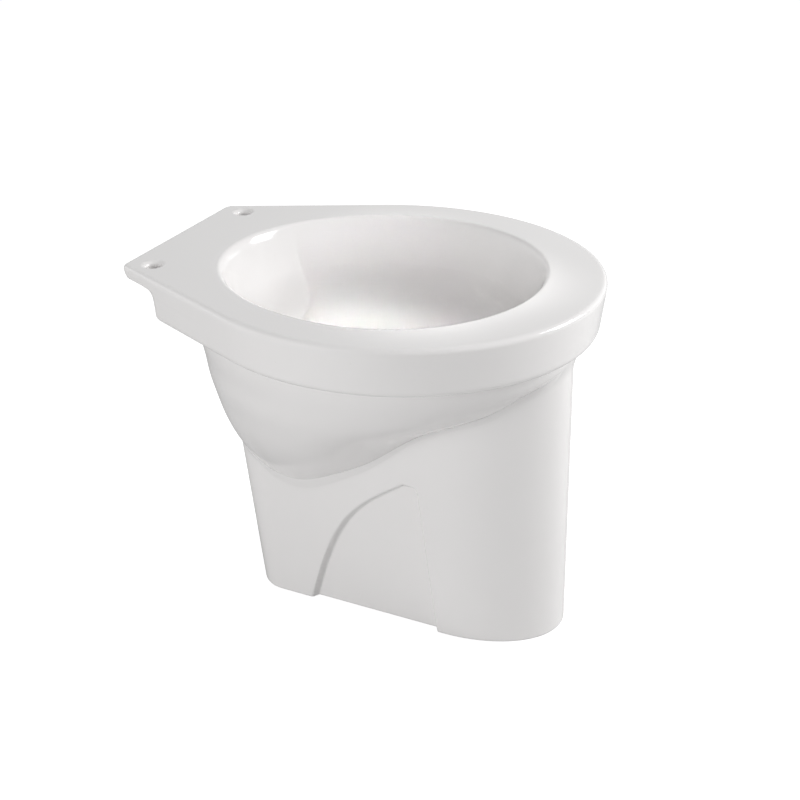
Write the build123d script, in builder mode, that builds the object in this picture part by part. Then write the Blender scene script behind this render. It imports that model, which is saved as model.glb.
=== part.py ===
from build123d import *
from math import acos, atan2, cos, degrees, hypot, pi, radians, sin, tan
import os

# Floor-standing washdown toilet pan in glazed vitreous china, in millimetres.
# +Z is up, the pan faces -Y, and the origin is on the floor under the middle
# of the pan. The castings are shown as they are joined with slip before firing.

# Overall sizes
pan_height = 368.0
rim_length = 454.0
rim_width = 365.0

# Rim outline: one oval with straight sides running back to the seat deck
oval_center_y = -22.0
deck_thickness = 14.0
deck_overhang = 42.0
deck_corner_radius = 9.0
box_corner_radius = 26.0
cove_radius = 12.0
corner_ease = 1.0

# Rim box
rim_depth = 49.0
rim_draft = 6.0
rim_wall = 10.0
top_thickness = 12.0
outer_roll_radius = 5.5
band_bottom_radius = 7.0

# Opening
opening_half_width = 130.0
opening_front_ledge = 69.0
opening_rear_ledge = 44.0
opening_roll_radius = 19.0
lip_wall = 9.0

# Seat fixing holes
seat_hole_spacing = 165.0
seat_hole_radius = 7.5
seat_hole_from_rear = 30.0
seat_hole_from_side = 12.5
seat_hole_softening = 5.0

# Floor of the flush channel
channel_floor_thickness = 8.0
flush_hole_radius = 3.0
flush_hole_count = 26
flush_hole_inset = 5.0

# Flush inlet: a socket for the pipe's seal, and a narrower port through the wall behind it
inlet_radius = 27.5
inlet_wall = 9.0
inlet_axis_drop = 54.0
inlet_short_of_deck = 5.0
inlet_lead_in = 3.0
inlet_shoulder = 3.0
port_radius = 23.0
port_depth = 19.0

# Divider that splits the flush left and right
divider_width = 40.0
divider_length = 13.0

# Bowl: where its top outline lies in from the rim
bowl_side_inset = 22.5
bowl_front_inset = 21.0
bowl_rear_inset = 6.0
bowl_widest_y = -15.0

# Bowl: egg-shaped levels, as shares of the way from the well to the top, for
# height, half width, front, rear and widest place
bowl_levels = [
    (1.0, 1.0, 1.0, 1.0, 1.0),
    (0.911, 0.964, 0.985, 1.0, 0.925),
    (0.822, 0.911, 0.886, 0.972, 0.851),
    (0.737, 0.857, 0.782, 0.944, 0.701),
    (0.634, 0.768, 0.559, 0.894, 0.552),
    (0.535, 0.670, 0.396, 0.831, 0.358),
    (0.357, 0.446, 0.188, 0.634, 0.030),
    (0.230, 0.250, 0.020, 0.394, -0.149),
    (0.113, 0.080, 0.005, 0.141, -0.090),
]
bowl_wall = 10.0
bowl_floor_rise = 6.0

# Well under the bowl
well_center_y = 52.0
well_half_width = 38.0
well_half_length = 46.0
well_neck_z = 106.0
well_bottom_z = 26.0
well_corner_radius = 18.0
well_corner_turns = (30, 60, 85)

# Trap
trap_radius = 30.0
trap_wall = 8.0
trap_crown_radius = 40.0
trap_crown_z = 136.0
trap_rise_angle = 60.0
trap_low_z = 66.0
trap_low_radius = 52.0

# Outlet collar
outlet_from_foot_front = 70.0
collar_radius = 49.0
collar_bore_radius = 41.0
collar_bottom_z = 8.0
collar_length = 42.0
collar_taper = 40.0

# Foot
foot_half_width = 67.0
foot_front_inset = 21.0
foot_front_rake = 0.6
foot_front_length = 106.0
foot_rear_y = 125.0
foot_rear_lean = 5.0
foot_rear_corner = 34.0
foot_wall = 10.0
foot_top_drop = 13.0

# Arched recess on both sides of the foot
recess_depth = 7.0
recess_rear_arc = [(53.0, 0.0), (33.0, 64.0), (-1.0, 125.0)]
recess_crest = (-57.0, 170.0)
recess_top_front_y = -76.0
recess_front_y = -95.0
recess_corner_radius = 8.0

# Heights and lines worked out from the sizes above
rim_bottom_z = pan_height - rim_depth
front_y = -rim_length / 2
rear_y = rim_length / 2
box_rear_y = rear_y - deck_overhang
deck_width = seat_hole_spacing + 2 * seat_hole_from_side
opening_front = front_y + opening_front_ledge
opening_rear = box_rear_y - opening_rear_ledge
channel_top_z = pan_height - top_thickness
channel_floor_z = rim_bottom_z + channel_floor_thickness
inlet_z = pan_height - inlet_axis_drop
seat_hole_y = rear_y - seat_hole_from_rear
foot_front_y = front_y + foot_front_inset
foot_top_z = rim_bottom_z - foot_top_drop
trap_outlet_y = foot_front_y + outlet_from_foot_front
well_front_y = well_center_y - well_half_length - bowl_wall
well_rear_y = well_center_y + well_half_length + bowl_wall


def egg(z, half_width, front, rear, widest):
    """Two half ellipses that meet where the outline is widest."""
    with BuildSketch(Plane.XY.offset(z)) as outline:
        with BuildLine():
            EllipticalCenterArc((0, widest), half_width, widest - front, 180, arc_size=180)
            EllipticalCenterArc((0, widest), half_width, rear - widest, 0, arc_size=180)
        make_face()
    return outline.sketch


def rim_outline(z, inset, rear, corner_radius):
    """Oval front, straight sides to the deck corners and a straight rear edge."""
    half_width = rim_width / 2 - inset
    reach = oval_center_y - front_y - inset
    corner_x = deck_width / 2 - inset
    corner_y = rear_y - oval_center_y - inset
    across, along = corner_x / half_width, corner_y / reach
    touch = atan2(along, across) - acos(1 / hypot(across, along))
    touch_x = half_width * cos(touch)
    touch_y = oval_center_y + reach * sin(touch)
    slope = (corner_x - touch_x) / (rear_y - inset - touch_y)
    end = (touch_x + slope * (rear - touch_y), rear)
    with BuildSketch(Plane.XY.offset(z)) as outline:
        with BuildLine():
            EllipticalCenterArc(
                (0, oval_center_y), half_width, reach, 180 - degrees(touch),
                arc_size=180 + 2 * degrees(touch),
            )
            Polyline((touch_x, touch_y), end, (-end[0], end[1]), (-touch_x, touch_y))
        make_face()
        fillet(outline.vertices().group_by(Axis.Y)[-1], corner_radius)
    return outline.sketch


def foot_outline(z, inset):
    """Half ellipse in front, straight sides and a leaning rear wall."""
    half_width = foot_half_width - inset
    widest = foot_front_y + foot_front_length + z * tan(radians(foot_front_rake))
    rear = foot_rear_y + z * tan(radians(foot_rear_lean)) - inset
    with BuildSketch(Plane.XY.offset(z)) as outline:
        with BuildLine():
            EllipticalCenterArc((0, widest), half_width, foot_front_length - inset, 180, arc_size=180)
            Polyline((half_width, widest), (half_width, rear), (-half_width, rear), (-half_width, widest))
        make_face()
        fillet(outline.vertices().group_by(Axis.Y)[-1], foot_rear_corner - inset)
    return outline.sketch


def recess_outline(grow):
    """The arch on the side of the foot, standing on the floor, seen along X."""
    crest = (recess_crest[0], recess_crest[1] + grow)
    foot_of_arc, shoulder, haunch = [(y + grow, z) for y, z in recess_rear_arc]
    with BuildSketch(Plane.YZ) as outline:
        with BuildLine():
            Spline(foot_of_arc, shoulder, (haunch[0], haunch[1] + grow), crest)
            Polyline(
                crest,
                (recess_top_front_y - grow, crest[1]),
                (recess_front_y - grow, 0),
                foot_of_arc,
            )
        make_face()
        top_corner = outline.vertices().group_by(Axis.Y)[1]
        fillet(top_corner, recess_corner_radius + grow)
    return outline.sketch


def bowl_level(height, side, front, rear, widest):
    """A level's height, half width, front, rear and widest place, from its shares."""
    well_half = well_half_width + bowl_wall
    return (
        well_neck_z + height * (rim_bottom_z - well_neck_z),
        well_half + side * (rim_width / 2 - bowl_side_inset - well_half),
        well_front_y + front * (front_y + bowl_front_inset - well_front_y),
        well_rear_y + rear * (box_rear_y - bowl_rear_inset - well_rear_y),
        well_center_y + widest * (bowl_widest_y - well_center_y),
    )


def well_levels(wall, bottom_z, corner_radius):
    """Straight well under the bowl, closed by a rounded bottom."""
    levels = [(well_neck_z, 0.0), (bottom_z + corner_radius, 0.0)]
    for turn in well_corner_turns:
        levels.append(
            (bottom_z + corner_radius * (1 - sin(radians(turn))), corner_radius * (1 - cos(radians(turn))))
        )
    outlines = []
    for z, inset in levels:
        reach = well_half_length + wall - inset
        outlines.append(egg(z, well_half_width + wall - inset, well_center_y - reach,
                            well_center_y + reach, well_center_y))
    return outlines


# Solid forms that several castings share

with BuildPart() as bowl_outside:
    loft([egg(*bowl_level(*shares)) for shares in bowl_levels]
         + well_levels(bowl_wall, well_bottom_z, well_corner_radius + bowl_wall))

with BuildPart() as bowl_inside:
    loft(
        [
            egg(z + bowl_floor_rise, half_width - bowl_wall, front + bowl_wall, rear - bowl_wall, widest)
            for z, half_width, front, rear, widest in [bowl_level(*shares) for shares in bowl_levels]
        ]
        + well_levels(0.0, well_bottom_z + bowl_wall, well_corner_radius)
    )

rise = radians(trap_rise_angle)
crown_y = trap_outlet_y + trap_crown_radius
leg_y = crown_y + trap_crown_radius * sin(rise)
leg_z = trap_crown_z + trap_crown_radius * cos(rise)
low_corner = (leg_y + (leg_z - trap_low_z) / tan(rise), trap_low_z)
high_corner = (trap_outlet_y, leg_z + (leg_y - trap_outlet_y) * tan(rise))
collar_top_z = collar_bottom_z + collar_length + collar_taper

with BuildLine(Plane.YZ) as trap_line:
    FilletPolyline(
        (well_center_y, trap_low_z), low_corner, high_corner, (trap_outlet_y, collar_top_z),
        radius=[trap_low_radius, trap_crown_radius],
    )


def trap_form(radius):
    """A round bar along the middle line of the trap."""
    with BuildPart() as bar:
        with BuildSketch(Plane.XZ.offset(-well_center_y)):
            with Locations((0, trap_low_z)):
                Circle(radius)
        sweep(path=trap_line.wires()[0])
    return bar.part


trap_outside = trap_form(trap_radius + trap_wall)
trap_passage = trap_form(trap_radius)


def inlet_bar(radius, start_y, end_y):
    """A round bar along the axis of the flush inlet."""
    with BuildPart() as bar:
        with BuildSketch(Plane.XZ.offset(-start_y)):
            with Locations((0, inlet_z)):
                Circle(radius)
        extrude(amount=start_y - end_y)
    return bar.part


port_inner_y = box_rear_y - port_depth
inlet_end_y = rear_y - inlet_short_of_deck
port = inlet_bar(port_radius, port_inner_y, inlet_end_y)

# Rim: seat deck, rolled edge and outer band

with BuildPart() as under_deck:
    with BuildSketch(Plane.XY.offset(rim_bottom_z - 1)):
        with Locations((0, box_rear_y)):
            Rectangle(2 * rim_width, rim_length / 2)
        add(rim_outline(rim_bottom_z - 1, -corner_ease, box_rear_y, box_corner_radius), mode=Mode.SUBTRACT)
    extrude(amount=pan_height - deck_thickness - rim_bottom_z + 1)
    inner_edges = under_deck.faces().sort_by(Axis.Z)[-1].edges().filter_by(
        lambda edge: abs((edge @ 0.5).Y) < rear_y and abs((edge @ 0.5).X) < rim_width / 2
    )
    fillet(inner_edges, cove_radius)


def lip_outline(z):
    """Outer face of the lip that hangs down round the opening."""
    return egg(z, opening_half_width + lip_wall, opening_front - lip_wall, opening_rear + lip_wall,
               oval_center_y)


def channel_outline(z):
    """Plan of the flush channel inside the rim."""
    with BuildSketch(Plane.XY.offset(z)) as outline:
        add(rim_outline(z, rim_draft + rim_wall, box_rear_y - rim_wall, box_corner_radius - rim_wall))
        add(lip_outline(z), mode=Mode.SUBTRACT)
    return outline.sketch


with BuildPart() as rim_outside:
    loft(
        [
            rim_outline(pan_height, 0, rear_y, deck_corner_radius),
            rim_outline(rim_bottom_z, rim_draft, rear_y - rim_draft, deck_corner_radius),
        ],
        ruled=True,
    )
    add(under_deck.part, mode=Mode.SUBTRACT)
    fillet(rim_outside.faces().sort_by(Axis.Z)[-1].edges(), outer_roll_radius)
    bottom_edges = rim_outside.faces().filter_by(Plane.XY).sort_by(Axis.Z)[0].edges()
    fillet(bottom_edges, band_bottom_radius)

with BuildPart() as rim_and_lip:
    add(rim_outside.part)
    extrude(egg(rim_bottom_z, opening_half_width, opening_front, opening_rear, oval_center_y),
            amount=rim_depth, mode=Mode.SUBTRACT)
    inner_top = rim_and_lip.faces().filter_by(Plane.XY).sort_by(Axis.Z)[-1].inner_wires()[0].edges()
    fillet(inner_top, opening_roll_radius)
    extrude(channel_outline(rim_bottom_z), amount=channel_top_z - rim_bottom_z, mode=Mode.SUBTRACT)

with BuildPart() as lip_space:
    extrude(lip_outline(rim_bottom_z), amount=channel_top_z - rim_bottom_z)

with BuildPart() as rim:
    add(rim_and_lip.part)
    add(lip_space.part, mode=Mode.SUBTRACT)
    with BuildSketch(Plane.XY.offset(pan_height)):
        with Locations((0, seat_hole_y)):
            with GridLocations(seat_hole_spacing, 0, 2, 1):
                Circle(seat_hole_radius)
    extrude(amount=-rim_depth, mode=Mode.SUBTRACT)
    hole_edges = rim.faces().filter_by(Plane.XY).sort_by(Axis.Z)[-1].inner_wires()
    hole_edges = [wire.edges() for wire in hole_edges if wire.length < 2 * seat_hole_spacing]
    fillet([edge for edges in hole_edges for edge in edges], seat_hole_softening)
    add(port, mode=Mode.SUBTRACT)
rim.part.label = "rim"
export_step(rim.part, "parts/rim.step")


# Rim lip: the ring that hangs down round the opening and closes the flush channel

with BuildPart() as rim_lip:
    add(rim_and_lip.part)
    add(lip_space.part, mode=Mode.INTERSECT)
rim_lip.part.label = "rim_lip"
export_step(rim_lip.part, "parts/rim_lip.step")


# Floor of the flush channel, with the row of flush holes under the rim


def flush_hole_points():
    """Even turns round the oval just inside the channel floor's inner edge, none at the inlet."""
    half_width = opening_half_width + lip_wall + flush_hole_inset
    front_reach = oval_center_y - opening_front + lip_wall + flush_hole_inset
    rear_reach = opening_rear - oval_center_y + lip_wall + flush_hole_inset
    points = []
    for index in range(flush_hole_count):
        turn = pi / 2 + 2 * pi * (index + 0.5) / flush_hole_count
        reach = rear_reach if sin(turn) > 0 else front_reach
        points.append((half_width * cos(turn), oval_center_y + reach * sin(turn)))
    return points


with BuildPart() as channel_floor:
    extrude(channel_outline(rim_bottom_z), amount=channel_floor_thickness)
    with BuildSketch(Plane.XY.offset(rim_bottom_z)):
        with Locations(*flush_hole_points()):
            Circle(flush_hole_radius)
    extrude(amount=channel_floor_thickness, mode=Mode.SUBTRACT)
    add(port, mode=Mode.SUBTRACT)
channel_floor.part.label = "channel_floor"
export_step(channel_floor.part, "parts/channel_floor.step")


# Divider at the inlet: a hollow-sided wedge that splits the flush left and right

with BuildPart() as flush_divider:
    with BuildSketch(Plane.XY.offset(channel_floor_z)):
        with BuildLine():
            base_y = opening_rear + lip_wall / 2
            nose_y = opening_rear + lip_wall + divider_length
            middle = (divider_width / 8, (base_y + nose_y) / 2)
            ThreePointArc((divider_width / 2, base_y), middle, (0, nose_y))
            ThreePointArc((0, nose_y), (-middle[0], middle[1]), (-divider_width / 2, base_y))
            Line((-divider_width / 2, base_y), (divider_width / 2, base_y))
        make_face()
        add(lip_outline(channel_floor_z), mode=Mode.SUBTRACT)
    extrude(amount=channel_top_z - channel_floor_z)
flush_divider.part.label = "flush_divider"
export_step(flush_divider.part, "parts/flush_divider.step")


# Flush inlet: the socket under the deck that takes the flush pipe, seated on the
# rear walls of the rim box and the bowl, with a shoulder where the seal stops

with BuildPart() as flush_inlet:
    add(inlet_bar(inlet_radius + inlet_wall, port_inner_y, inlet_end_y))
    add(port, mode=Mode.SUBTRACT)
    add(inlet_bar(inlet_radius, box_rear_y + inlet_shoulder, inlet_end_y), mode=Mode.SUBTRACT)
    mouth = flush_inlet.faces().sort_by(Axis.Y)[-1]
    chamfer(mouth.inner_wires()[0].edges(), inlet_lead_in)
    fillet(mouth.outer_wire().edges(), inlet_lead_in)
    add(rim_outside.part, mode=Mode.SUBTRACT)
    add(bowl_outside.part, mode=Mode.SUBTRACT)
flush_inlet.part.label = "flush_inlet"
export_step(flush_inlet.part, "parts/flush_inlet.step")


# Bowl with its well, open to the inlet behind and to the trap in front

with BuildPart() as bowl:
    add(bowl_outside.part)
    add(bowl_inside.part, mode=Mode.SUBTRACT)
    add(trap_passage, mode=Mode.SUBTRACT)
    add(port, mode=Mode.SUBTRACT)
bowl.part.label = "bowl"
export_step(bowl.part, "parts/bowl.step")


# Trapway: up under the bowl's front slope, over the weir and down to the collar

with BuildPart() as trapway:
    add(trap_outside)
    add(trap_passage, mode=Mode.SUBTRACT)
    add(bowl_outside.part, mode=Mode.SUBTRACT)
trapway.part.label = "trapway"
export_step(trapway.part, "parts/trapway.step")


# Outlet collar: widens the trapway's end into the socket over the soil pipe

with BuildPart() as outlet_collar:
    with BuildSketch(Plane.XZ.offset(-trap_outlet_y)):
        with BuildLine():
            Polyline(
                (collar_bore_radius, collar_bottom_z),
                (collar_radius, collar_bottom_z),
                (collar_radius, collar_bottom_z + collar_length),
                (trap_radius + trap_wall, collar_top_z),
                (trap_radius, collar_top_z),
                (collar_bore_radius, collar_bottom_z + collar_length),
                close=True,
            )
        make_face()
    revolve(axis=Axis((0, trap_outlet_y, 0), (0, 0, 1)))
outlet_collar.part.label = "outlet_collar"
export_step(outlet_collar.part, "parts/outlet_collar.step")


# Foot: hollow pedestal that carries the bowl, pressed in at both sides by an arch

recess_face_x = foot_half_width - recess_depth

with BuildPart() as pressed_wall:
    extrude(recess_outline(foot_wall), amount=recess_face_x)
    extrude(recess_outline(foot_wall), amount=recess_face_x - foot_wall, mode=Mode.SUBTRACT)
    mirror(about=Plane.YZ)

with BuildPart() as recess_space:
    extrude(recess_outline(0), amount=foot_half_width + foot_wall)
    extrude(recess_outline(0), amount=recess_face_x, mode=Mode.SUBTRACT)
    mirror(about=Plane.YZ)

with BuildPart() as foot:
    loft([foot_outline(0, 0), foot_outline(foot_top_z, 0)], ruled=True)
    loft([foot_outline(0, foot_wall), foot_outline(foot_top_z, foot_wall)], ruled=True, mode=Mode.SUBTRACT)
    add(pressed_wall.part)
    add(recess_space.part, mode=Mode.SUBTRACT)
    add(bowl_outside.part, mode=Mode.SUBTRACT)
foot.part.label = "foot"
export_step(foot.part, "parts/foot.step")
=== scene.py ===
# %% [markdown]
# A toilet pan in white glazed china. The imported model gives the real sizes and
# places of the castings. This lesson dresses it: the three castings that show are
# worked out again as smooth surfaces, with the soft edges that glaze gives them,
# and every piece gets a china finish.

# %% Load the frame
from math import acos, atan2, cos, hypot, pi, radians, sin, tan
import bpy
import numpy as np
from mathutils import Matrix, Vector


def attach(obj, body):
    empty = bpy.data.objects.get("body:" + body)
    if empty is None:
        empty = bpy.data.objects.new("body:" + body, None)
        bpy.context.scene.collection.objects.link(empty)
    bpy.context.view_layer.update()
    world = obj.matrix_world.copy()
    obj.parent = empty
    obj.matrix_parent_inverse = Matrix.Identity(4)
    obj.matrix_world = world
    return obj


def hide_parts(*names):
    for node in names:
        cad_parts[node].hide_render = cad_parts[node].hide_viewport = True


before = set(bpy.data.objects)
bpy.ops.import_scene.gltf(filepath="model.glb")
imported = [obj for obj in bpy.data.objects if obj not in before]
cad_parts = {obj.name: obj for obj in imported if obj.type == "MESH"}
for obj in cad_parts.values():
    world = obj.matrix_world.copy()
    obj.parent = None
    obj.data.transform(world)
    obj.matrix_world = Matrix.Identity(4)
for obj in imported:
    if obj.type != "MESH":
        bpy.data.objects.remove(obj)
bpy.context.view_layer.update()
MM = 0.001

# %% [markdown]
# The camera comes first, because every later choice is judged through it. It stands
# about 1.3 metres from the pan's middle, 28 degrees above the horizontal and 64 degrees
# round from the front, and it leans a little to one side. The small shift puts the
# optical axis where it was in the photograph.

# %% Camera
camera_place = (-0.9796, -0.5038, 0.8002)
camera_turn = radians(63.96)
camera_height_angle = radians(28.48)
camera_lean = radians(-1.42)

across = np.array([cos(camera_turn), -sin(camera_turn), 0.0])
backwards = np.array([
    -sin(camera_turn) * cos(camera_height_angle),
    -cos(camera_turn) * cos(camera_height_angle),
    sin(camera_height_angle),
])
upwards = np.cross(backwards, across)
leaned_across = across * cos(camera_lean) + upwards * sin(camera_lean)
leaned_upwards = upwards * cos(camera_lean) - across * sin(camera_lean)

camera = bpy.data.objects.new("camera", bpy.data.cameras.new("camera"))
bpy.context.scene.collection.objects.link(camera)
camera.data.sensor_width = 36.0
camera.data.lens = 54.94
camera.data.shift_y = 0.0174
turned = Matrix(np.column_stack([leaned_across, leaned_upwards, backwards]).tolist()).to_4x4()
camera.matrix_world = Matrix.Translation(camera_place) @ turned
bpy.context.scene.camera = camera
print("camera lens", camera.data.lens, "mm")

# %% [markdown]
# The sizes are those of the castings, in millimetres. The rim is an oval with straight
# sides that run back to the seat deck. Each row of bowl_levels is one egg-shaped level:
# its height, half width, front, rear, and where it is widest. The foot is a half oval
# with straight sides and round rear corners. The opening holds its half width, front
# and rear.

# %% Sizes of the castings
pan_height, rim_length, rim_width = 368.0, 454.0, 365.0
oval_center_y, deck_width, deck_thickness = -22.0, 190.0, 14.0
rim_depth, rim_draft, rim_wall, top_thickness = 49.0, 6.0, 10.0, 12.0
box_rear_y = rim_length / 2 - 42.0
deck_corner, box_corner = 9.0, 26.0
opening = (130.0, -158.0, 141.0)
lip_wall = 9.0
rim_bottom = pan_height - rim_depth
rear_y = rim_length / 2

bowl_levels = np.array([
    (319.0, 160.0, -206.0, 179.0, -15.0),
    (300.0, 156.0, -203.0, 179.0, -10.0),
    (281.0, 150.0, -183.0, 177.0, -5.0),
    (263.0, 144.0, -162.0, 175.0, 5.0),
    (241.0, 134.0, -117.0, 171.5, 15.0),
    (220.0, 123.0, -84.0, 167.0, 28.0),
    (182.0, 98.0, -42.0, 153.0, 50.0),
    (155.0, 76.0, -8.0, 136.0, 62.0),
    (130.0, 57.0, -5.0, 118.0, 58.0),
    (106.0, 48.0, -4.0, 108.0, 52.0),
    (86.0, 48.0, -4.0, 108.0, 52.0),
])
bowl_wall, bowl_floor_rise = 10.0, 6.0

foot_half_width, foot_front, foot_front_length = 67.0, -206.0, 106.0
foot_rake, foot_lean = tan(radians(0.6)), tan(radians(5.0))
foot_rear, foot_corner, foot_wall = 125.0, 34.0, 10.0
print("rim", rim_width, "x", rim_length, "mm, foot", 2 * foot_half_width, "mm wide")

# %% [markdown]
# Every casting here is a grid of points: rows one above the other, columns round the
# form. A helper joins each four neighbours with a face, closes open ends with a fan of
# triangles, and turns the faces outwards by the sign of the enclosed volume.

# %% Grid helper


def grid_piece(name, points, loop_rows=False):
    """Rows x columns x 3 points in millimetres become a closed mesh, closed round the columns.

    With loop_rows the last row joins the first, as on a ring; otherwise both ends get a fan.
    The volume is a sixth of the sum of a . (b x c) over all triangles.
    """
    rows, columns = points.shape[:2]
    vertices = points.reshape(-1, 3)
    index = np.arange(rows * columns).reshape(rows, columns)
    index = np.hstack([index, index[:, :1]])
    if loop_rows:
        index = np.vstack([index, index[:1]])
    quads = np.stack([index[:-1, :-1], index[:-1, 1:], index[1:, 1:], index[1:, :-1]], -1)
    quads = quads.reshape(-1, 4)
    triangles = [quads[:, :3], quads[:, [0, 2, 3]]]
    fans = []
    if not loop_rows:
        for row, order in ((0, (0, 2, 1)), (-1, (0, 1, 2))):
            hub = len(vertices)
            vertices = np.vstack([vertices, points[row].mean(0)])
            fan = np.stack([np.full(columns, hub), index[row, :-1], index[row, 1:]], -1)
            fans.append(fan[:, list(order)])
    a, b, c = (vertices[np.vstack(triangles + fans)[:, k]] for k in range(3))
    volume = np.einsum("ij,ij->", a, np.cross(b, c)) / 6
    faces = quads.tolist() + np.vstack([np.empty((0, 3), int)] + fans).tolist()
    if volume < 0:
        faces = [face[::-1] for face in faces]
    mesh = bpy.data.meshes.new(name)
    mesh.from_pydata((vertices * MM).tolist(), [], faces)
    mesh.shade_smooth()
    piece = bpy.data.objects.new(name, mesh)
    bpy.context.scene.collection.objects.link(piece)
    print(name, "faces", len(faces), "litres of solid", round(abs(volume) / 1e6, 3))
    return piece


# %% [markdown]
# The rim is a hollow casting: a box with a rolled outer edge, a soft roll into the
# opening, and a deck that reaches out behind over a cove. All its rows are rings seen
# from one middle point. A plan outline is drawn finely once, and each ring reads its
# distance from that middle in every column's direction, so rings of quite different
# outline still share their columns and the sides never twist.

# %% Rim outlines


def egg_line(half_width, front, rear, widest):
    """Two half ellipses that meet where the outline is widest."""
    angle = np.linspace(0, 2 * pi, 4000, endpoint=False)
    reach = np.where(np.sin(angle) > 0, rear - widest, widest - front)
    return np.stack([half_width * np.cos(angle), widest + reach * np.sin(angle)], -1)


def rim_line(inset, rear, corner):
    """Oval front, straight sides to the rear corners, an arc at each corner, straight rear."""
    half_width = rim_width / 2 - inset
    reach = oval_center_y + rim_length / 2 - inset
    aim = np.array([deck_width / 2 - inset, rear_y - inset])
    part = np.array([aim[0] / half_width, (aim[1] - oval_center_y) / reach])
    touch = atan2(part[1], part[0]) - acos(1 / hypot(*part))
    start = np.array([half_width * cos(touch), oval_center_y + reach * sin(touch)])
    side = (aim - start) / hypot(*(aim - start))
    tip = start + side * (rear - start[1]) / side[1]
    run = corner / tan(acos(side[0]) / 2)
    begin = tip - side * run
    middle = begin + corner * np.array([-side[1], side[0]])
    first = atan2(begin[1] - middle[1], begin[0] - middle[0])
    oval = np.linspace(-pi / 2, touch, 1500)
    oval_part = np.stack([half_width * np.cos(oval), oval_center_y + reach * np.sin(oval)], -1)
    side_part = start + np.linspace(0, 1, 500)[1:, None] * (begin - start)
    arc = np.linspace(first, pi / 2, 300)[1:]
    corner_part = middle + corner * np.stack([np.cos(arc), np.sin(arc)], -1)
    back_part = np.stack([np.linspace(corner_part[-1, 0], 0, 300)[1:], np.full(299, rear)], -1)
    half = np.vstack([oval_part, side_part, corner_part, back_part])
    return np.vstack([half, half[-2:0:-1] * (-1, 1)])


top_line = rim_line(0, rear_y, deck_corner)
print("points on the rim's outline:", len(top_line))

# %% [markdown]
# The columns stand closer together near the deck's two corners, because the outline
# bends most sharply there. A weight along the outline says how close.

# %% Columns of the rim
corner_reach, corner_closeness, half_columns = 16, 4, 281
half_line = top_line[:len(top_line) // 2 + 1]
steps = np.hypot(*np.diff(half_line, axis=0).T)
tip_distance = np.hypot(half_line[1:, 0] - deck_width / 2, half_line[1:, 1] - rear_y)
closeness = 1 + corner_closeness * np.exp(-(tip_distance / corner_reach) ** 2)
weight = np.concatenate([[0], np.cumsum(steps * closeness)])
spaced = np.interp(np.linspace(0, weight[-1], half_columns), weight, np.arange(len(weight)))
half_turn = np.interp(spaced, np.arange(len(weight)),
                      np.arctan2(half_line[:, 1] - oval_center_y, half_line[:, 0]))
turn = np.concatenate([half_turn, pi - half_turn[-2:0:-1]])
print("columns round the rim:", len(turn))

# %% [markdown]
# The rim's wall leans in a little towards its lower edge, as it must to leave the mould.
# Behind, the deck reaches out past the box that carries it. A soft minimum joins the
# two walls without a crease. The wall stays a hair inside the CAD outline.

# %% Rim walls
skin_gap, soft_join = 0.15, 3


def distance_round(line, toward):
    """How far the outline lies from the oval's middle in each direction."""
    away = line - (0, oval_center_y)
    bearing = np.arctan2(away[:, 1], away[:, 0])
    return np.interp(toward, bearing, np.hypot(*away.T), period=2 * pi)


top_edge = distance_round(top_line, turn)
low_edge = distance_round(rim_line(rim_draft, rear_y - rim_draft, deck_corner), turn)
box_edge = distance_round(rim_line(-1, box_rear_y, box_corner), turn)


def band_at(z):
    """The drafted wall: straight from the top outline to the smaller lower one."""
    return top_edge + (low_edge - top_edge) * (pan_height - z) / rim_depth - skin_gap


def wall_at(z):
    """The nearer of the band and the box, rounded off over 3 mm where they cross."""
    near = np.clip(soft_join - abs(band_at(z) - box_edge), 0, None)
    return np.minimum(band_at(z), box_edge) - near ** 2 / (4 * soft_join)


def opening_at(grow):
    """Distance to the opening's edge, moved out by a number of millimetres."""
    half_width, front, rear = opening
    line = egg_line(half_width + grow, front - grow, rear + grow, oval_center_y)
    return distance_round(line, turn)


print("rim wall from the middle:", round(top_edge.min()), "to", round(top_edge.max()), "mm")

# %% [markdown]
# The rows go up the wall of the opening, over its crest, across the flat top and round
# the outer edge. The roll into the opening is the wide one, 14.5 mm across, and is drawn
# by two cubic curves. The outer edge is a quarter circle of 5.5 mm.

# %% Opening, top and outer edge
lip_wall_curve = [(0.0, rim_bottom), (0.0, 338.0), (4.5, 350.0), (7.0, 359.0)]
lip_crest_curve = [(7.0, 359.0), (9.0, 364.6), (10.5, pan_height), (14.5, pan_height)]
outer_roll = 5.5


def quarter(count):
    """Angles of a quarter turn, evenly spaced."""
    return np.linspace(0, pi / 2, count)


def rows_between(start, end, count):
    """Rings on straight lines from one ring to another, without the two ends."""
    share = np.linspace(0, 1, count + 2)[1:-1]
    return [(start[0] + (end[0] - start[0]) * k, start[1] + (end[1] - start[1]) * k)
            for k in share]


def cubic(controls, count):
    """Points of a cubic Bezier curve after its start.

    The four controls are weighted (1-k)^3, 3k(1-k)^2, 3k^2(1-k) and k^3.
    """
    k = np.linspace(0, 1, count + 1)[1:, None]
    weights = np.hstack([(1 - k) ** 3, 3 * k * (1 - k) ** 2, 3 * k * k * (1 - k), k ** 3])
    return weights @ np.array(controls)


ones = np.ones(len(turn))
rows = [(opening_at(0), ones * rim_bottom)]
for controls in (lip_wall_curve, lip_crest_curve):
    for grow, height in cubic(controls, 14):
        rows.append((opening_at(grow), ones * height))
rows += rows_between(rows[-1], (band_at(pan_height) - outer_roll, ones * pan_height), 14)
rows += [(band_at(pan_height - outer_roll + outer_roll * cos(a)) - outer_roll * (1 - sin(a)),
          ones * (pan_height - outer_roll + outer_roll * cos(a))) for a in quarter(9)]
print("rows to the outer edge:", len(rows))

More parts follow.
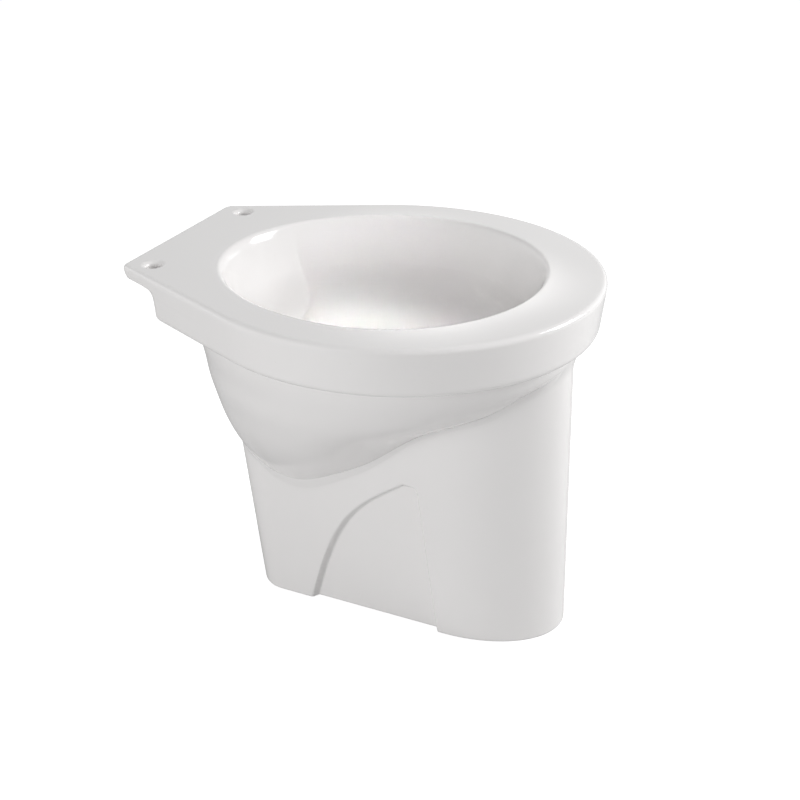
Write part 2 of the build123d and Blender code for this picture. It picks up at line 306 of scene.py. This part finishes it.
# %% [markdown]
# Where the deck overhangs the box, the rows turn in under the deck, run along its
# underside and come down through a cove. Elsewhere they run straight down. A share
# that grows with the overhang mixes the two, column by column.

# %% Under the deck
box_level, full_overhang = 342.0, 14.5
deck_soft, deck_cove, low_roll = 2.5, 12, 7.0


def smooth_step(share):
    """0 below 0, 1 above 1, and the S-shaped 3s^2 - 2s^3 between them."""
    share = np.clip(share, 0, 1)
    return share * share * (3 - 2 * share)


under_deck = pan_height - deck_thickness
overhang = np.clip(band_at(under_deck) - wall_at(box_level), 0, None)
overhang_share = np.clip(overhang / full_overhang, 0, 1)
soft, cove = deck_soft * overhang_share, deck_cove * overhang_share
turned_in = [(band_at(under_deck) - soft * (1 - cos(a)), under_deck + soft * (1 - sin(a)))
             for a in quarter(7)]
cove_rows = [(wall_at(box_level) + cove * (1 - sin(a)), under_deck - cove * (1 - cos(a)))
             for a in quarter(10)]
turned_in += rows_between(turned_in[-1], cove_rows[0], 4) + cove_rows
plain_heights = np.linspace(under_deck + deck_soft, under_deck - deck_cove, len(turned_in))
mix = smooth_step((overhang - 1) / 6)
edge_end = (band_at(under_deck + deck_soft), ones * (under_deck + deck_soft))
rows += rows_between(rows[-1], edge_end, 2)
for (reach, height), plain in zip(turned_in, plain_heights):
    settled = smooth_step((under_deck + deck_soft - plain) / 8)
    straight = band_at(plain) + settled * (wall_at(plain) - band_at(plain))
    rows.append((mix * reach + (1 - mix) * straight, mix * height + (1 - mix) * plain))
roll_top = rim_bottom + low_roll
rows += rows_between(rows[-1], (wall_at(roll_top), ones * roll_top), 7)
rows += [(wall_at(rim_bottom + low_roll * (1 - sin(a))) - low_roll * (1 - cos(a)),
          ones * (rim_bottom + low_roll * (1 - sin(a)))) for a in quarter(8)]
print("deck overhang up to", round(overhang.max(), 1), "mm")

# %% [markdown]
# Inside, the rim is a channel for the flush water. Four more rings draw it: up the
# outer wall, across under the top and down behind the opening's wall. The last row
# joins the first, so the casting is closed.

# %% Channel and mesh of the rim
channel_top = pan_height - top_thickness
channel_out = distance_round(
    rim_line(rim_draft + rim_wall, box_rear_y - rim_wall, box_corner - rim_wall), turn)
for reach, height in [(channel_out, rim_bottom), (channel_out, channel_top),
                      (opening_at(lip_wall), channel_top), (opening_at(lip_wall), rim_bottom)]:
    target = (reach, ones * height)
    rows += rows_between(rows[-1], target, 4) + [target]

points = np.array([[np.cos(turn) * reach, oval_center_y + np.sin(turn) * reach, height]
                   for reach, height in rows]).transpose(0, 2, 1)
rim_casting = grid_piece("rim_casting", points, loop_rows=True)

# %% [markdown]
# The two seat holes flare softly at the top, where glaze rounds the china's edge. They
# and the port for the flush pipe are turned shapes, taken away from the casting.

# %% Seat holes and port
hole_y, hole_x, hole_radius, hole_soft = 197.0, 82.5, 7.5, 5.0
hole_start, hole_past_top = 325.0, 6
port_radius, port_start, port_end, port_drop = 23.0, 150.0, 230.0, 54.0


def cut(piece, *cutters):
    """Takes the cutters away from the piece for good, and leaves hard edges only at the cuts."""
    for cutter in cutters:
        taken = piece.modifiers.new("cut", "BOOLEAN")
        taken.solver = "EXACT"
        taken.object = cutter
        graph = bpy.context.evaluated_depsgraph_get()
        mesh = bpy.data.meshes.new_from_object(piece.evaluated_get(graph))
        piece.modifiers.clear()
        piece.data = mesh
        bpy.data.objects.remove(cutter)
    piece.data.shade_smooth()
    piece.data.set_sharp_from_angle(angle=radians(40))
    return piece


def spun(name, radii, places, center, axis):
    """A profile of radii and places along an axis, turned about that axis: 0 is X, 1 Y, 2 Z."""
    angle = np.linspace(0, 2 * pi, 96, endpoint=False)
    ring = np.zeros((len(radii), len(angle), 3))
    others = [k for k in range(3) if k != axis]
    ring[..., others[0]] = center[others[0]] + np.outer(radii, np.cos(angle))
    ring[..., others[1]] = center[others[1]] + np.outer(radii, np.sin(angle))
    ring[..., axis] = np.asarray(places)[:, None]
    return grid_piece(name, ring)


flare = np.linspace(0, radians(84), 9)[1:]
flared = hole_radius + hole_soft * (1 - np.cos(flare))
hole_radii = np.concatenate([[hole_radius, hole_radius], flared, flared[-1:]])
hole_places = np.concatenate([[hole_start, pan_height - hole_soft],
                              pan_height - hole_soft + hole_soft * np.sin(flare),
                              [pan_height + hole_past_top]])
hole_cutters = [spun("seat_hole", hole_radii, hole_places, (side * hole_x, hole_y, 0), 2)
                for side in (-1, 1)]
port = ([port_radius, port_radius], [port_start, port_end], (0, 0, pan_height - port_drop), 1)
cut(rim_casting, *hole_cutters, spun("port", *port))
print("rim casting faces after the cuts:", len(rim_casting.data.polygons))

# %% [markdown]
# The bowl and the foot meet in a soft, fired joint that has no visible line. So both
# use the same columns: each column goes up the foot, through a fillet, and on up the
# bowl. Half an outline is enough, because the other half is its mirror image. It has
# four stretches: the oval front, the straight side, the round corner and the rear.

# %% Columns of the foot
front_turn = np.linspace(0, pi / 2, 41)[:-1]
side_share = np.concatenate([np.linspace(0, 0.165, 56)[:-1], np.linspace(0.165, 1, 91)[:-1]])
corner_turn = np.linspace(0, pi / 2, 17)[:-1]
rear_share = np.linspace(0, 1, 9)


def joined(*parts):
    """Puts the four stretches of the half outline one after another."""
    return np.concatenate(parts)


flat = foot_half_width - foot_corner
zero_f, zero_s, zero_c, zero_r = (
    np.zeros(len(part)) for part in (front_turn, side_share, corner_turn, rear_share))
across_base = joined(foot_half_width * np.sin(front_turn), zero_s + foot_half_width,
                     flat + foot_corner * np.cos(corner_turn), flat * (1 - rear_share))
across_inset = joined(np.sin(front_turn), zero_s + 1, np.cos(corner_turn), zero_r)
along_base = joined(-foot_front_length * np.cos(front_turn), -foot_corner * side_share,
                    -foot_corner + foot_corner * np.sin(corner_turn), zero_r)
along_inset = joined(-np.cos(front_turn), zero_s, np.sin(corner_turn), zero_r + 1)
front_weight = joined(zero_f + 1, 1 - side_share, zero_c, zero_r)
rear_weight = joined(zero_f, side_share, zero_c + 1, zero_r + 1)
on_side = joined(zero_f, zero_s + 1, zero_c, zero_r)
print("columns on half the foot:", len(across_base))

# %% [markdown]
# The foot's outline moves with height, because its front and rear lean. The bowl's
# outline at any height comes from a smooth curve through its levels.

# %% Outlines of the foot and the bowl


def smooth_curve(knots, values, at):
    """Natural cubic spline: the curve with the least bending through all the values."""
    order = np.argsort(knots)
    knots, values = np.asarray(knots)[order], np.asarray(values)[order]
    step = np.diff(knots)
    slope = np.diff(values) / step
    count = len(knots)
    matrix = np.eye(count)
    right = np.zeros(count)
    for k in range(1, count - 1):
        matrix[k, k - 1:k + 2] = step[k - 1], 2 * (step[k - 1] + step[k]), step[k]
        right[k] = 6 * (slope[k] - slope[k - 1])
    bend = np.linalg.solve(matrix, right)
    k = np.clip(np.searchsorted(knots, at) - 1, 0, count - 2)
    low, high = at - knots[k], knots[k + 1] - at
    return (
        (bend[k] * high ** 3 + bend[k + 1] * low ** 3) / (6 * step[k])
        + (values[k] / step[k] - bend[k] * step[k] / 6) * high
        + (values[k + 1] / step[k] - bend[k + 1] * step[k] / 6) * low
    )


def foot_point(z, inset):
    """Half outline of the foot: half ellipse, straight side, round corner, straight rear."""
    widest = foot_front + foot_front_length + z * foot_rake
    rear = foot_rear + z * foot_lean
    return np.stack([
        across_base - inset * across_inset,
        along_base - inset * along_inset + front_weight * widest + rear_weight * rear,
        z + np.zeros(len(across_base)),
    ], -1)


def level_at(z):
    """Half width, front, rear and widest place of the bowl's outline at any height."""
    inside = np.clip(z, bowl_levels[-1, 0], bowl_levels[0, 0])
    return [smooth_curve(bowl_levels[:, 0], bowl_levels[:, k], inside) for k in range(1, 5)]


def bowl_point(z, angle, inset=0.0):
    """A point on the bowl's egg-shaped outline at a height, by its angle round the egg."""
    half_width, front, rear, widest = level_at(z)
    reach = np.where(np.sin(angle) > 0, rear - widest, widest - front) - inset
    return np.stack([(half_width - inset) * np.cos(angle), widest + reach * np.sin(angle),
                     z + np.zeros(np.shape(angle))], -1)


print("bowl half width 200 mm up:", round(float(level_at(200.0)[0]), 1), "mm")

# %% [markdown]
# The height where the plain foot would enter the bowl is found by halving an interval
# in every column at once: a point outside the bowl's egg is still too low.

# %% Where the foot meets the bowl
lowest_meeting = 112.0


def egg_shares(z):
    """The foot's points at a height as shares of the bowl's half axes there: 1 is on the egg."""
    at = foot_point(z, 0.0)
    half_width, front, rear, widest = level_at(z)
    reach = np.where(at[:, 1] > widest, rear - widest, widest - front)
    return at[:, 0] / half_width, (at[:, 1] - widest) / reach


low = np.full(len(across_base), lowest_meeting)
high = np.full(len(across_base), rim_bottom)
for _ in range(40):
    halfway = (low + high) / 2
    share_x, share_y = egg_shares(halfway)
    outside = share_x ** 2 + share_y ** 2 > 1
    low, high = np.where(outside, halfway, low), np.where(outside, high, halfway)
crease = (low + high) / 2
share_x, share_y = egg_shares(crease)
egg_turn = np.arctan2(share_y, share_x)
print("the foot meets the bowl between", round(crease.min()), "and", round(crease.max()), "mm up")

# %% [markdown]
# The caster fills that crease with slip and wipes it round with a sponge. The fillet
# here is a cubic curve in every column, which leaves the foot along its wall and
# arrives along the bowl.

# %% Fillet between foot and bowl
fillet_below, fillet_above, fillet_reach = 12, 9, 0.4
fillet_low = crease - fillet_below
fillet_high = crease + np.minimum(fillet_above, 0.45 * (rim_bottom - crease))
start, end = foot_point(fillet_low, 0.0), bowl_point(fillet_high, egg_turn)
start_way = foot_point(fillet_low + 1, 0.0) - start
end_way = end - bowl_point(fillet_high - 1, egg_turn)
start_way /= np.linalg.norm(start_way, axis=1, keepdims=True)
end_way /= np.linalg.norm(end_way, axis=1, keepdims=True)
arm = fillet_reach * np.linalg.norm(end - start, axis=1, keepdims=True)
fillet_rows = []
for k in np.linspace(0, 1, 11)[1:]:
    fillet_rows.append((1 - k) ** 3 * start + 3 * k * (1 - k) ** 2 * (start + arm * start_way)
                       + 3 * k * k * (1 - k) * (end - arm * end_way) + k ** 3 * end)
print("fillet rows:", len(fillet_rows))

# %% [markdown]
# On each side of the foot the mould pressed in an arch, 7 mm deep. Its outline is a
# long curve behind, a small round corner at the top and a straight leg in front. Both
# ends run on below the floor, so that the arch is open there.

# %% Arch outline
arc_y, arc_z = np.array([53.0, 33.0, -1.0, -57.0]), np.array([0.0, 64.0, 125.0, 170.0])
leg_foot_y, leg_top_y, arch_top, arch_corner = -95.0, -76.0, 170.0, 8.0
below_floor = 30

arc_run = np.concatenate([[0], np.cumsum(np.hypot(np.diff(arc_y), np.diff(arc_z)))])
run = np.linspace(0, arc_run[-1], 120)
arc_line = np.stack([smooth_curve(arc_run, arc_y, run), smooth_curve(arc_run, arc_z, run)], -1)
leg_way = np.array([leg_foot_y - leg_top_y, -arch_top])
leg_way /= hypot(*leg_way)
corner_angle = acos(leg_way[0])
corner_run = arch_corner * tan(corner_angle / 2)
corner_mid = np.array([leg_top_y + corner_run, arch_top - arch_corner])
sweep = np.linspace(pi / 2, pi / 2 + corner_angle, 14)
corner_line = corner_mid + arch_corner * np.stack([np.cos(sweep), np.sin(sweep)], -1)
leg_end = np.array([leg_foot_y, 0.0]) + below_floor * leg_way
arc_way = arc_line[0] - arc_line[1]
arc_end = arc_line[0] + below_floor * arc_way / hypot(*arc_way)
arch = np.vstack([[arc_end], arc_line, corner_line, [leg_end]])
print("points on the arch:", len(arch))

# %% [markdown]
# Every point of the side knows how far it lies inside the arch's outline, and an
# S-shaped curve turns that distance into depth. The edge so comes out as soft as thick
# glaze makes it.

# %% Pressing the arch in
arch_depth, arch_lead, arch_step = 7, 0.6, 5.2


def inside_arch(y, z):
    """Signed distance to the arch: positive inside, from the nearest straight piece of it.

    A point is inside when a level line from it crosses the closed outline an odd number of times.
    """
    place = np.stack([y, z], -1)[..., None, :]
    begin, piece = arch[:-1], np.diff(arch, axis=0)
    along = np.clip(((place - begin) * piece).sum(-1) / (piece ** 2).sum(-1), 0, 1)
    gap = np.linalg.norm(place - begin - along[..., None] * piece, axis=-1).min(-1)
    ring = np.vstack([arch, arch[:1]])
    y0, z0, y1, z1 = ring[:-1, 0], ring[:-1, 1], ring[1:, 0], ring[1:, 1]
    crosses = (z0 > z[..., None]) != (z1 > z[..., None])
    where = y0 + (z[..., None] - z0) / np.where(z1 == z0, 1e-9, z1 - z0) * (y1 - y0)
    inside = (crosses & (y[..., None] < where)).sum(-1) % 2 == 1
    return np.where(inside, gap, -gap)


def pressed(points, grow):
    """Moves the side's points in by up to 7 mm inside the arch, made larger by grow."""
    distance = inside_arch(points[..., 1], points[..., 2])
    depth = arch_depth * smooth_step((distance + grow + arch_lead) / arch_step)
    points[..., 0] -= depth * on_side
    return points


probe = inside_arch(np.array([-40.0, 100.0]), np.array([60.0, 60.0]))
print("a point inside and one outside the arch:", probe.round(1).tolist())

# %% [markdown]
# The foot is a shell, open below. Its rows go round the sole's soft edge, up the
# outside, through the fillet, and down again on the inside, 10 mm in. A last dip keeps
# the foot's top row just under the bowl's skin.

# %% Foot casting
sole_soft, top_dip, inner_drop, lowest_inner_top = 2.5, 0.05, 14, 110


def both_halves(half_rows):
    """Adds the mirror image of a half outline, so that a row runs all the way round."""
    half_rows = np.asarray(half_rows)
    return np.concatenate([half_rows, half_rows[:, -2:0:-1] * (-1, 1, 1)], axis=1)


outer = [pressed(foot_point(np.full(len(crease), sole_soft * (1 - sin(a))),
                            sole_soft * (1 - cos(a))), 0.0)
         for a in quarter(5)[::-1]]
rising = [pressed(foot_point(sole_soft + (fillet_low - sole_soft) * k, 0.0), 0.0)
          for k in np.linspace(0, 1, 171)[1:]]
end_dip = fillet_rows[-1] - np.array([0, 0, top_dip])
inner_top = np.maximum(fillet_low - inner_drop, lowest_inner_top)
inner = [pressed(foot_point(inner_top * (1 - k), foot_wall), foot_wall)
         for k in np.linspace(0, 1, 26)]
sole = [inner[-1] + (outer[0] - inner[-1]) * k for k in (0.33, 0.67)]
foot_rows = both_halves(outer + rising + fillet_rows + [end_dip] + inner + sole)
foot_casting = grid_piece("foot_casting", foot_rows, loop_rows=True)
foot_casting.data.set_sharp_from_angle(angle=radians(40))

# %% [markdown]
# The bowl's outside takes over at the fillet's last row, point for point, and flares
# into a small cove under the rim. Below the fillet it goes on down inside the foot, to
# the round bottom of the well.

# %% Outside of the bowl
cove_overlap, cove_least, cove_most = 1.5, 1, 7
bottom_corner, well_bottom = 28.0, 26.0

full_turn = np.concatenate([egg_turn, pi - egg_turn[-2:0:-1]])
full_high = np.concatenate([fillet_high, fillet_high[-2:0:-1]])
top_ring = bowl_point(np.full(len(full_turn), rim_bottom), full_turn)
ring_away = top_ring[:, :2] - (0, oval_center_y)
flat_edge = np.interp(np.arctan2(ring_away[:, 1], ring_away[:, 0]), turn,
                      wall_at(rim_bottom) - low_roll, period=2 * pi)
room = np.clip(flat_edge + cove_overlap - np.hypot(*ring_away.T), cove_least, cove_most)
outwards = ring_away / np.hypot(*ring_away.T)[:, None]
bowl_rows = []
for a in quarter(9)[::-1]:
    row = bowl_point(rim_bottom - room * (1 - sin(a)), full_turn)
    row[:, :2] += outwards * (room * (1 - cos(a)))[:, None]
    bowl_rows.append(row)
under_cove = rim_bottom - room
bowl_rows += [bowl_point(under_cove + (full_high - under_cove) * k, full_turn)
              for k in np.linspace(0, 1, 41)[1:]]
neck = bowl_levels[-1, 0]
bowl_rows += [bowl_point(full_high + (neck - full_high) * k, full_turn)
              for k in np.linspace(0, 1, 17)[1:]]
bowl_rows += [bowl_point(well_bottom + bottom_corner * (1 - sin(a)), full_turn,
                         bottom_corner * (1 - cos(a))) for a in quarter(9)[:-1]]
bowl_casting = grid_piece("bowl_casting", np.array(bowl_rows))

# %% [markdown]
# The inside is another stack of levels, 10 mm smaller low down. Higher up it draws in
# until it is flush with the wall of the opening, because the photograph shows one
# smooth wall there and no line under a lip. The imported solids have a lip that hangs
# free of the bowl, so here the scene and the solids differ, by up to 21 mm.

# %% Hollow of the bowl
well_top, rise_height = 106.0, 24
sides_draw_in, rear_draws_in = 255.0, 190.0
inner_corner, inner_bottom, past_rim = 18.0, 36.0, 6


def hollow_point(z, angle):
    """The bowl's inside: 10 mm in from the levels below, and flush with the lip at the top."""
    level = z - bowl_floor_rise * smooth_step((z - well_top) / rise_height)
    half_width, front, rear, widest = level_at(level)
    side = smooth_step((z - sides_draw_in) / (rim_bottom - sides_draw_in))
    back = smooth_step((z - rear_draws_in) / (rim_bottom - rear_draws_in))
    half_width = (1 - side) * (half_width - bowl_wall) + side * opening[0]
    front = (1 - side) * (front + bowl_wall) + side * opening[1]
    rear = (1 - back) * (rear - bowl_wall) + back * opening[2]
    widest = (1 - side) * widest + side * oval_center_y
    reach = np.where(np.sin(angle) > 0, rear - widest, widest - front)
    return np.stack([half_width * np.cos(angle), widest + reach * np.sin(angle),
                     z + np.zeros(np.shape(angle))], -1)


round_turn = np.linspace(0, 2 * pi, 240, endpoint=False)
hollow_rows = [hollow_point(z, round_turn)
               for z in np.linspace(rim_bottom + past_rim, well_top, 80)]
hollow_rows += [bowl_point(inner_bottom + inner_corner * (1 - sin(a)), round_turn,
                           bowl_wall + inner_corner * (1 - cos(a))) for a in quarter(10)[:-1]]
hollow = grid_piece("hollow", np.array(hollow_rows))

# %% [markdown]
# The trap's passage is a tube carried along a path: a short straight, an arc upwards
# and another straight. Each ring of the tube stands square to the path. The hollow, the
# tube and the port for the flush pipe are cut out of the bowl.

# %% Passage of the trap
trap_radius, trap_bend_radius = 30, 52
trap_bend_y, trap_bend_z = 20.6, 118.0
trap_start_y, trap_start_z = 52.0, 66.0
trap_end_back, trap_end_up = 15, 26

bend = np.linspace(0, radians(60), 16)
bend_y = trap_bend_y - trap_bend_radius * np.sin(bend)
bend_z = trap_bend_z - trap_bend_radius * np.cos(bend)
trap_y = np.concatenate([[trap_start_y], bend_y, [bend_y[-1] - trap_end_back]])
trap_z = np.concatenate([[trap_start_z], bend_z, [bend_z[-1] + trap_end_up]])
way_y, way_z = np.gradient(trap_y), np.gradient(trap_z)
way_length = np.hypot(way_y, way_z)
ring_turn = np.linspace(0, 2 * pi, 72, endpoint=False)
tube = np.stack([
    np.tile(trap_radius * np.cos(ring_turn), (len(trap_y), 1)),
    trap_y[:, None] - np.outer(way_z / way_length, trap_radius * np.sin(ring_turn)),
    trap_z[:, None] + np.outer(way_y / way_length, trap_radius * np.sin(ring_turn)),
], -1)
cut(bowl_casting, hollow, grid_piece("passage", tube), spun("port", *port))
print("bowl casting faces after the cuts:", len(bowl_casting.data.polygons))

# %% [markdown]
# Each casting takes the place of its CAD nodes and rides on the one body.

# %% Places of the castings
for piece, nodes in ((rim_casting, ("rim", "rim_lip")), (bowl_casting, ("bowl",)),
                     (foot_casting, ("foot",))):
    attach(piece, "root")
    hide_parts(*nodes)
    print(piece.name, "stands for", ", ".join(nodes))

# %% [markdown]
# Glaze on china is a clear, glossy coat over a white body. It is never quite even: it
# ripples by a few hundredths of a millimetre over a hand's breadth, it has a fine
# orange skin, and its white drifts a little. Those three are noise patterns that feed
# colour, roughness and bump. A small class writes the shader maths: sums and
# products of a value add Math nodes, and every other node comes from one method.

# %% Shader helper


class Value:
    """A node's output; + - and * on it add Math nodes to the same material."""

    def __init__(self, tree, output=None):
        self.tree, self.output = tree, output

    def node(self, kind, settings=None, inputs=None, take=0):
        """Any node: its settings come first, then the values or links of its sockets."""
        made = self.tree.nodes.new("ShaderNode" + kind)
        for name, value in (settings or {}).items():
            setattr(made, name, value)
        for name, value in (inputs or {}).items():
            if isinstance(value, Value):
                self.tree.links.new(value.output, made.inputs[name])
            else:
                made.inputs[name].default_value = value
        return Value(self.tree, made.outputs[take] if made.outputs else None)

    def maths(self, operation, first, second):
        return self.node("Math", {"operation": operation}, {0: first, 1: second})

    def __add__(self, other):
        return self.maths("ADD", self, other)

    def __sub__(self, other):
        return self.maths("SUBTRACT", self, other)

    def __rsub__(self, other):
        return self.maths("SUBTRACT", other, self)

    def __mul__(self, other):
        return self.maths("MULTIPLY", self, other)

    __radd__, __rmul__ = __add__, __mul__


def new_material(name):
    """An empty node material and a starting point for its nodes."""
    material = bpy.data.materials.new(name)
    material.use_nodes = True
    material.node_tree.nodes.clear()
    return material, Value(material.node_tree)


def noise(start, scale, detail=2.0):
    """Noise round 0.5 on object coordinates; the scale is in cells per metre."""
    place = start.node("TexCoord", take="Object")
    return start.node("TexNoise", inputs={
        "Vector": place, "Scale": scale, "Detail": detail, "Roughness": 0.5}, take="Fac")


def blend(start, share, first, second):
    """Mixes two colours by a share from 0 to 1."""
    return start.node("Mix", {"data_type": "RGBA"}, {0: share, 6: first, 7: second}, take=2)


# %% [markdown]
# The glaze's white is kept below 0.87, because a brighter one clips to plain white
# sooner and loses the form. Sparse pinholes, where gas left the glaze in the kiln, break
# it up.

# %% Glazed china
def glazed_china():
    """White glaze: a slow drift of tone, sparse pinholes, faint ripples and a fine skin."""
    material, start = new_material("glazed_china")
    drift = noise(start, 9.0, 3.0)
    cloud = noise(start, 55.0, 2.0)
    colour = blend(start, drift, (0.835, 0.818, 0.812, 1), (0.865, 0.852, 0.848, 1))
    colour = blend(start, cloud * 0.25, colour, (0.85, 0.85, 0.845, 1))
    spots = start.node("TexVoronoi", inputs={
        "Vector": start.node("TexCoord", take="Object"), "Scale": 70.0}, take="Distance")
    pinhole = start.node("MapRange", inputs={
        "Value": spots, "From Min": 0.02, "From Max": 0.035, "To Min": 1.0, "To Max": 0.0})
    colour = blend(start, pinhole * 0.25, colour, (0.55, 0.52, 0.48, 1))
    height = noise(start, 16.0, 1.0) * 0.7 + noise(start, 420.0, 1.0) * 0.012 - pinhole * 0.02
    bump = start.node("Bump", inputs={"Strength": 0.35, "Distance": 0.0009, "Height": height})
    gloss = 0.07 + noise(start, 30.0, 3.0) * 0.09
    shader = start.node("BsdfPrincipled", inputs={
        "Base Color": colour, "Roughness": gloss, "Normal": bump,
        "IOR": 1.52, "Coat Weight": 0.15, "Coat Roughness": 0.03})
    start.node("OutputMaterial", inputs={"Surface": shader})
    return material


china = glazed_china()
print("material:", china.name, "with", len(china.node_tree.nodes), "nodes")

# %% [markdown]
# Fired clay that no glaze covers is warmer in tone and matt, with a fine grain. Two
# noise patterns of very different size give it that.

# %% Bare china
def bare_china():
    """Fired clay without glaze: warm, matt and finely grained."""
    material, start = new_material("bare_china")
    grain = noise(start, 900.0, 3.0)
    drift = noise(start, 14.0, 3.0)
    colour = blend(start, drift, (0.72, 0.68, 0.61, 1), (0.79, 0.76, 0.70, 1))
    colour = blend(start, grain * 0.3, colour, (0.62, 0.58, 0.52, 1))
    bump = start.node("Bump", inputs={
        "Strength": 0.4, "Distance": 0.0004, "Height": grain + drift * 2.0})
    shader = start.node("BsdfPrincipled", inputs={
        "Base Color": colour, "Roughness": 0.72 + grain * 0.2, "Normal": bump, "IOR": 1.45})
    start.node("OutputMaterial", inputs={"Surface": shader})
    return material


clay = bare_china()
print("material:", clay.name, "with", len(clay.node_tree.nodes), "nodes")

# %% [markdown]
# The ring that the foot stands on is wiped clean of glaze before firing, or the pan
# would stick to the kiln shelf. Its faces therefore get the bare finish, as do the
# trapway and the collar, which stay hidden inside the foot.

# %% Finishes on the pieces
for piece in (rim_casting, bowl_casting, foot_casting):
    piece.data.materials.clear()
    piece.data.materials.append(china)
foot_casting.data.materials.append(clay)
centers = np.empty(len(foot_casting.data.polygons) * 3)
foot_casting.data.polygons.foreach_get("center", centers)
wiped = (centers.reshape(-1, 3)[:, 2] < 0.0002).astype(np.int32)
foot_casting.data.polygons.foreach_set("material_index", wiped)
for name, material in (("channel_floor", china), ("flush_divider", china),
                       ("flush_inlet", china), ("trapway", clay), ("outlet_collar", clay)):
    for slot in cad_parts[name].material_slots:
        slot.material = material
print("wiped faces on the foot:", int(wiped.sum()))

# %% [markdown]
# The stage is a white floor that keeps the pan's soft shadow. It glows for the camera
# alone, so the picture's ground is white and that glow doesn't light the china.

# %% Floor
floor_mesh = bpy.data.meshes.new("floor")
floor_mesh.from_pydata([(-9, -9, 0), (9, -9, 0), (9, 9, 0), (-9, 9, 0)], [], [(0, 1, 2, 3)])
floor = bpy.data.objects.new("floor", floor_mesh)
bpy.context.scene.collection.objects.link(floor)
paint, start = new_material("floor_paint")
ray = start.node("LightPath", take="Is Camera Ray")
glow = start.node("Emission", inputs={"Color": (1, 1, 1, 1), "Strength": 0.75})
matt = start.node("BsdfDiffuse", inputs={"Color": (0.62, 0.62, 0.62, 1)})
both = start.node("AddShader", inputs={0: matt, 1: glow})
shown = start.node("MixShader", inputs={0: ray, 1: matt, 2: both})
start.node("OutputMaterial", inputs={"Surface": shown})
floor_mesh.materials.append(paint)
print("floor:", paint.name)

# %% [markdown]
# The surround shows as white to the camera and in reflections. As a lamp it stays much
# dimmer, so that the china's tones are not washed out.

# %% Surround
world = bpy.data.worlds.new("surround")
world.use_nodes = True
world.node_tree.nodes.clear()
start = Value(world.node_tree)
white_rays = start.node("LightPath", take="Is Camera Ray")
for kind in ("Is Glossy Ray", "Is Transmission Ray"):
    white_rays = white_rays + start.node("LightPath", take=kind)
ambient = start.node("Background", inputs={"Color": (1, 1, 1, 1), "Strength": 0.40})
white = start.node("Background", inputs={"Color": (1, 1, 1, 1), "Strength": 1.0})
seen = start.node("MixShader", inputs={0: white_rays, 1: ambient, 2: white})
start.node("OutputWorld", inputs={"Surface": seen})
bpy.context.scene.world = world
bpy.context.scene.view_settings.view_transform = "Standard"
print("surround:", len(world.node_tree.nodes), "nodes")

# %% [markdown]
# Three lamps light the pan, as in a small studio. The large one stands in front on the
# far side, a second fills from the deck's side, and a narrow one reaches down into the
# bowl. The second is kept out of reflections, where it would show as a bright window
# on the bowl's far wall.

# %% Lamps


def softbox(name, place, aim, width, height, power, spread=pi):
    """A rectangular lamp that looks from its place towards a point; a grid narrows its spread."""
    lamp = bpy.data.lights.new(name, "AREA")
    lamp.shape, lamp.size, lamp.size_y, lamp.energy = "RECTANGLE", width, height, power
    lamp.spread = spread
    made = bpy.data.objects.new(name, lamp)
    bpy.context.scene.collection.objects.link(made)
    way = Vector(aim) - Vector(place)
    looking = way.to_track_quat("-Z", "Y").to_matrix().to_4x4()
    made.matrix_world = Matrix.Translation(place) @ looking
    print(name, "at", place, power, "W")
    return made


softbox("key_right", (0.8, -1.65, 1.15), (0, 0, 0.2), 0.9, 0.9, 31)
side_left = softbox("side_left", (-1.95, 0.7, 0.65), (0, 0, 0.1), 1.2, 0.9, 18)
side_left.visible_glossy = False
softbox("bowl_snoot", (-0.45, -0.95, 1.7), (0.04, 0.05, 0.24), 0.15, 0.15, 0.15, radians(5.2))
